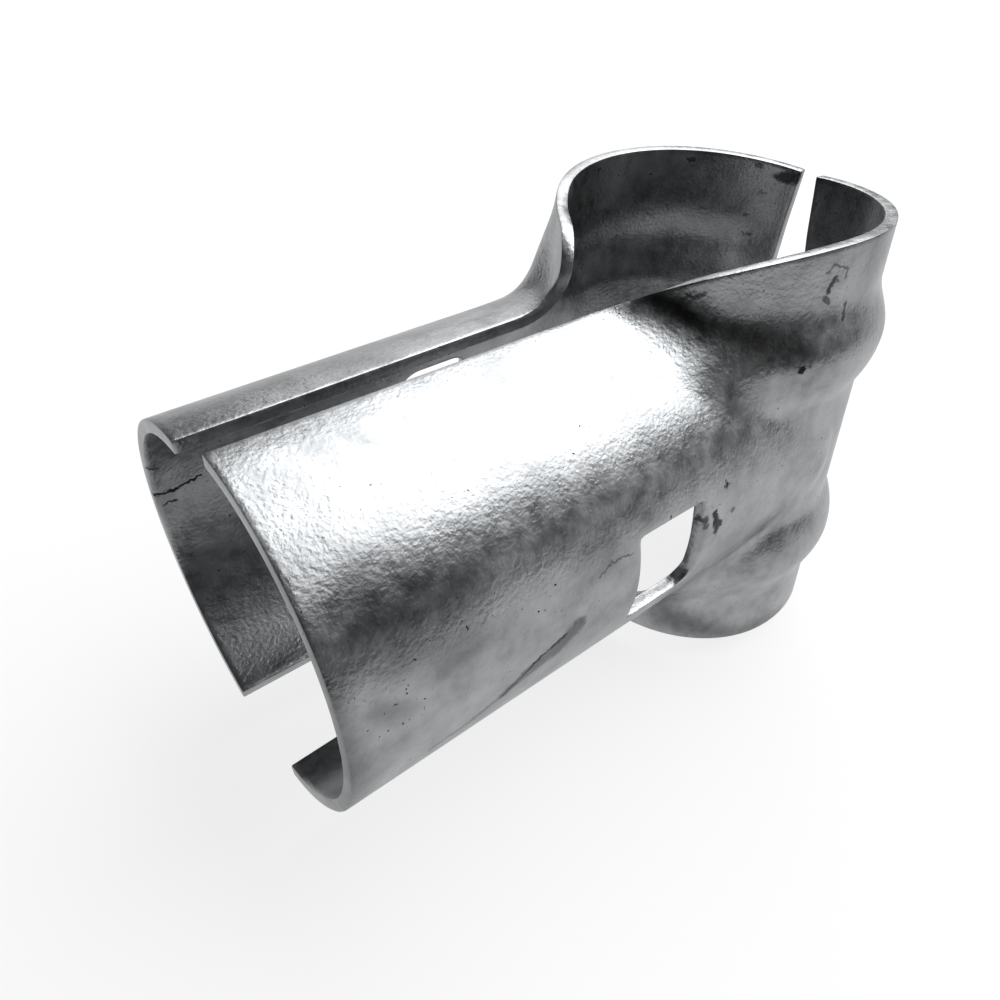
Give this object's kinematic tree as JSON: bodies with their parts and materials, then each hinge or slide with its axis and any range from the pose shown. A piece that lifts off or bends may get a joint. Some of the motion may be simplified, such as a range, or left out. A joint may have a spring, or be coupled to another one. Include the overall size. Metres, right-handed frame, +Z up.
{
  "type": "fence rail end clamp",
  "caption": "Pressed galvanised steel clamp with a slit collar for a round post and a slit sleeve for the end of a round rail, drawn together by a bolt.",
  "frame": {"origin": "crossing of the post axis and the rail axis, at the middle of the collar's height", "axes": "+X along the rail axis, out of the sleeve's mouth; +Z up along the post axis; +Y from the far half towards the half that stands slightly turned"},
  "size_m": [0.0994, 0.0554, 0.0644],
  "materials": {
    "galvanised_steel": "hot-dip galvanised pressed sheet, dull spangle"
  },
  "bodies": {
    "root": {"rail_end_clamp": "galvanised_steel"}
  },
  "joints": []
}
